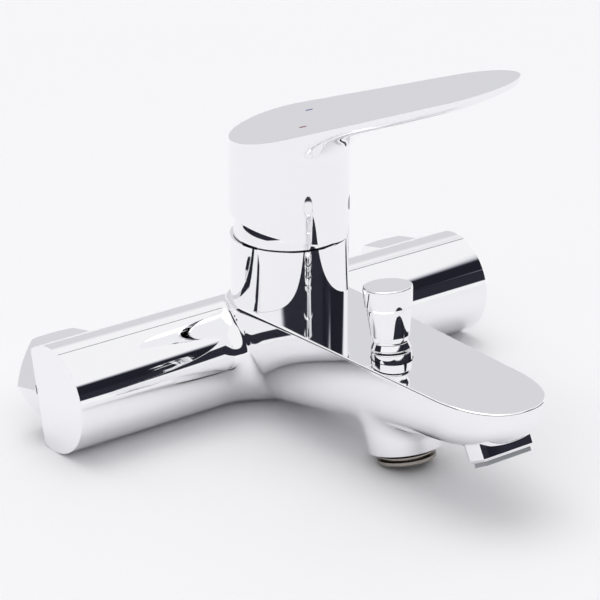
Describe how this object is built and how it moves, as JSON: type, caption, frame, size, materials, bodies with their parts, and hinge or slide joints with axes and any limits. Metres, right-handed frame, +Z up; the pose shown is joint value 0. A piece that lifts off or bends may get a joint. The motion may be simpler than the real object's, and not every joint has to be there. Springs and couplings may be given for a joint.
{
  "type": "wall mounted bath faucet",
  "caption": "Chrome single lever bath and shower mixer for a wall: a horizontal bar body, a flat topped spout, a pull-up diverter and a hose outlet below.",
  "frame": {"origin": "midway between the two inlets, on the plane where the wall unions press on their sealing washers", "axes": "+X to the user's right, along the body; +Y into the wall; +Z up"},
  "size_m": [0.1846, 0.1693, 0.1254],
  "materials": {
    "chrome": "polished",
    "brass": "machined",
    "stainless_steel": "satin",
    "grey_plastic": "moulded",
    "white_plastic": "moulded",
    "disc_ceramic": "lapped",
    "rubber": "matt",
    "red_mark": "enamel",
    "blue_mark": "enamel"
  },
  "bodies": {
    "faucet_body": {"main_casting": "chrome", "left_inlet_nipple": "brass", "right_inlet_nipple": "brass", "left_nipple_o_ring": "rubber", "right_nipple_o_ring": "rubber", "left_sealing_washer": "rubber", "right_sealing_washer": "rubber", "cartridge_base": "grey_plastic", "fixed_ceramic_disc": "disc_ceramic", "hot_port_seal": "rubber", "cold_port_seal": "rubber", "mixed_port_seal": "rubber", "cartridge_housing": "grey_plastic", "cartridge_nut": "brass", "dome_cap": "chrome", "diverter_collar": "chrome", "stem_o_ring": "rubber", "hose_outlet_nipple": "chrome", "check_valve_body": "white_plastic", "check_valve_spring": "stainless_steel", "aerator_frame": "chrome", "aerator_gasket": "rubber", "aerator_insert": "grey_plastic", "aerator_screen": "stainless_steel"},
    "left_nut": {"left_union_nut": "chrome"},
    "right_nut": {"right_union_nut": "chrome"},
    "mixing_rotor": {"lever_guide": "white_plastic", "pivot_pin": "stainless_steel"},
    "lever": {"lever_handle": "chrome", "lever_spindle": "stainless_steel", "lever_set_screw": "stainless_steel", "screw_cover_plug": "grey_plastic", "hot_mark": "red_mark", "cold_mark": "blue_mark"},
    "control_disc": {"disc_carrier": "white_plastic", "moving_ceramic_disc": "disc_ceramic"},
    "diverter": {"diverter_knob": "chrome", "diverter_stem": "brass", "diverter_lower_seal": "rubber", "diverter_valve_disc": "brass", "diverter_upper_seal": "rubber"},
    "check_poppet": {"check_valve_poppet": "white_plastic"}
  },
  "joints": [
    {"name": "mixing_swing", "type": "hinge", "parent": "faucet_body", "child": "mixing_rotor", "pos_m": [0, -0.03388, -0.00595], "axis": [0, -0.2096, 0.9778], "range_deg": [-91.6, 0]},
    {"name": "lever_lift", "type": "hinge", "parent": "mixing_rotor", "child": "lever", "pos_m": [0, -0.04353, 0.03903], "axis": [-0.6972, -0.701, -0.1503], "range_deg": [0, 22]},
    {"name": "disc_slide", "type": "slide", "parent": "mixing_rotor", "child": "control_disc", "axis": [0.7169, -0.6817, -0.1461], "range_m": [0, 0.0052]},
    {"name": "diverter_pull", "type": "slide", "parent": "faucet_body", "child": "diverter", "axis": [0, -0.1063, 0.9943], "range_m": [0, 0.0065]},
    {"name": "left_nut_turn", "type": "hinge", "parent": "faucet_body", "child": "left_nut", "pos_m": [-0.075, 0, 0], "axis": [0, 1, 0], "continuous": true},
    {"name": "right_nut_turn", "type": "hinge", "parent": "faucet_body", "child": "right_nut", "pos_m": [0.075, 0, 0], "axis": [0, 1, 0], "continuous": true},
    {"name": "check_valve_open", "type": "slide", "parent": "faucet_body", "child": "check_poppet", "axis": [0, 0, -1], "range_m": [0, 0.0015], "stiffness_N_per_m": 60, "springref_m": -0.001, "deforming": ["check_valve_spring"]}
  ],
  "couplings": [
    {"joint": "disc_slide", "follows": "lever_lift", "m_per_rad": 0.0132}
  ]
}
